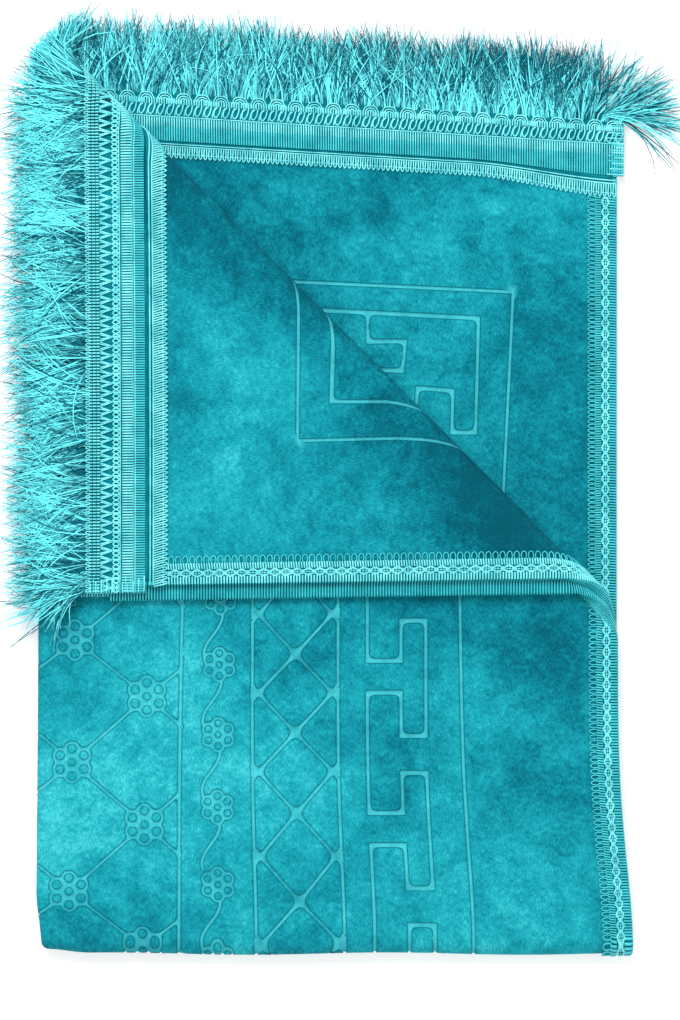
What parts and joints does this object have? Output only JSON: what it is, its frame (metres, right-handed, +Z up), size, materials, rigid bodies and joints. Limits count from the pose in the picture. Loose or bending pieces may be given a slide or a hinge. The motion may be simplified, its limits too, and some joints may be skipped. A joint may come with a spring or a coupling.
{
  "type": "folded velvet prayer rug",
  "caption": "Velvet prayer rug with braided edges and fringed ends, folded in half twice, one corner of its upper half turned over to show the border pattern.",
  "frame": {"origin": "middle of the bounding box, on the floor that the folded rug lies on", "axes": "+Z up, +Y towards the fringed ends, +X towards the open side edges, away from the lengthwise fold"},
  "size_m": [0.4178, 0.5822, 0.038],
  "materials": {
    "velvet": "brushed velvet pile, embossed",
    "trim_yarn": "shiny viscose braid",
    "fringe_yarn": "shiny loose strands"
  },
  "bodies": {
    "root": {"rug_velvet": "velvet", "side_binding_1": "trim_yarn", "side_binding_2": "trim_yarn", "end_gimp_a": "trim_yarn", "end_gimp_b": "trim_yarn", "fringe_a": "fringe_yarn", "fringe_b": "fringe_yarn"}
  },
  "joints": []
}
